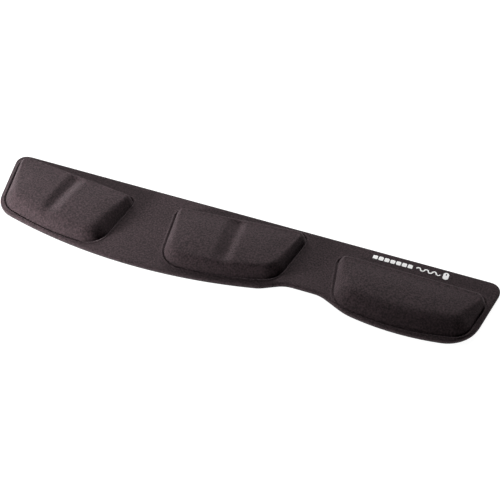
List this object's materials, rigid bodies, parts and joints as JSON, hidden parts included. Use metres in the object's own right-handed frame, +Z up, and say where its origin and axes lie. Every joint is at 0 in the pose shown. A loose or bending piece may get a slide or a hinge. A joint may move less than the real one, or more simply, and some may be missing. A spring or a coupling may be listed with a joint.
{
  "type": "wrist rest",
  "caption": "Long flat keyboard wrist rest with raised, channelled palm pads under one knitted cover, a mouse pad lobe at one end and a non-slip base.",
  "frame": {"origin": "centre of the bounding box in plan, on the underside that rests on the desk", "axes": "+X along the length to the user's right, +Y towards the keyboard, +Z up"},
  "size_m": [0.474, 0.092, 0.017],
  "materials": {
    "knit_fabric": "fine dark charcoal knit, matt",
    "print_film": "white heat-transfer film, matt",
    "foam": "open-cell memory foam",
    "board": "fine-grained polypropylene sheet",
    "adhesive": "dull translucent adhesive film",
    "rubber_sheet": "matt non-slip rubber with a moulded tread"
  },
  "bodies": {
    "root": {"fabric_cover": "knit_fabric", "print_mark": "print_film", "flange_foam": "foam", "stiffener_board": "board", "base_tape": "adhesive", "nonslip_base": "rubber_sheet", "left_pad_foam": "foam", "centre_pad_foam": "foam", "right_pad_foam": "foam", "left_pad_adhesive": "adhesive", "centre_pad_adhesive": "adhesive", "right_pad_adhesive": "adhesive"}
  },
  "joints": []
}
